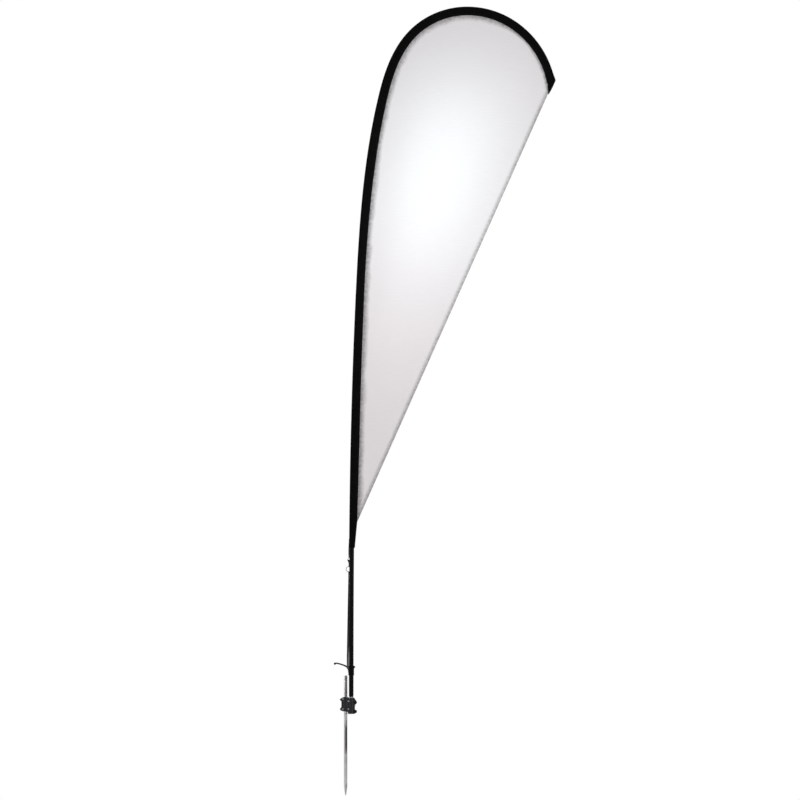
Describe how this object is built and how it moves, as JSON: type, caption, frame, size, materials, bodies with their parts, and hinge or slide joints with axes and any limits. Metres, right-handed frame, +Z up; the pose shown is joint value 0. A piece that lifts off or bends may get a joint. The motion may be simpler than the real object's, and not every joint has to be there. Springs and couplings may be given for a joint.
{
  "type": "teardrop flag",
  "caption": "White teardrop flag with a black pole sleeve on a bent sectional pole, turning on a spindle clamped to a ground stake.",
  "frame": {"origin": "the stake's axis at the ground line, 12 mm under the clamp", "axes": "+Z up along the stake; +X from the stake towards the pole and the flag; the flag and the pole's bend lie in the plane Y = 0, with the bolt heads on the -Y side"},
  "size_m": [0.8878, 0.0296, 3.1557],
  "materials": {
    "plated_steel": "bright plated, slightly streaked",
    "bright_steel": "turned",
    "blackened_steel": "black oxide",
    "clamp_plastic": "charcoal, semi gloss",
    "grey_nylon": "natural grey nylon",
    "pole_aluminium": "black anodised, satin",
    "pole_glass_fibre": "black glass fibre, satin",
    "moulded_black": "moulded black",
    "black_fabric": "woven polyester",
    "black_webbing": "ribbed webbing",
    "white_fabric": "knitted polyester",
    "grey_elastic": "woven elastic"
  },
  "bodies": {
    "stake": {"ground_stake": "plated_steel"},
    "clamp": {"clamp_front_jaw": "clamp_plastic", "clamp_rear_jaw": "clamp_plastic", "clamp_bolt_left_upper": "plated_steel", "clamp_bolt_left_lower": "plated_steel", "clamp_bolt_middle_upper": "plated_steel", "clamp_bolt_middle_lower": "plated_steel", "clamp_bolt_right_upper": "blackened_steel", "clamp_bolt_right_lower": "blackened_steel", "clamp_nut_left_upper": "plated_steel", "clamp_nut_left_lower": "plated_steel", "clamp_nut_middle_upper": "plated_steel", "clamp_nut_middle_lower": "plated_steel", "clamp_nut_right_upper": "blackened_steel", "clamp_nut_right_lower": "blackened_steel", "spindle_lower_bush": "grey_nylon", "spindle_upper_bush": "grey_nylon"},
    "spindle": {"spindle": "bright_steel"},
    "pole": {"pole_foot_bush": "moulded_black", "pole_guide_bush": "moulded_black", "pole_lower_tube": "pole_aluminium", "pole_middle_tube": "pole_glass_fibre", "pole_upper_tube": "pole_glass_fibre", "lower_ferrule": "moulded_black", "middle_ferrule": "moulded_black", "pole_tip_rod": "pole_glass_fibre", "pole_tip_cap": "moulded_black", "pole_sleeve": "black_fabric", "sleeve_point": "black_fabric", "flag_panel": "white_fabric", "sleeve_tab": "black_webbing", "triangle_ring": "plated_steel", "webbing_link": "black_webbing", "strap_ring": "plated_steel"},
    "hook": {"tension_hook": "moulded_black", "hook_set_screw": "blackened_steel", "tension_strap": "grey_elastic"}
  },
  "joints": [
    {"name": "clamp_slide", "type": "slide", "parent": "stake", "child": "clamp", "axis": [0, 0, 1], "range_m": [-0.01, 0.08]},
    {"name": "flag_spin", "type": "hinge", "parent": "clamp", "child": "spindle", "pos_m": [0.0225, 0, 0.0806], "axis": [0, 0, 1], "continuous": true},
    {"name": "pole_lift", "type": "slide", "parent": "spindle", "child": "pole", "axis": [0, 0, 1], "range_m": [0, 0.12]},
    {"name": "hook_slide", "type": "slide", "parent": "pole", "child": "hook", "axis": [0, 0, 1], "range_m": [-0.015, 0.03], "deforming": ["tension_strap"]}
  ]
}
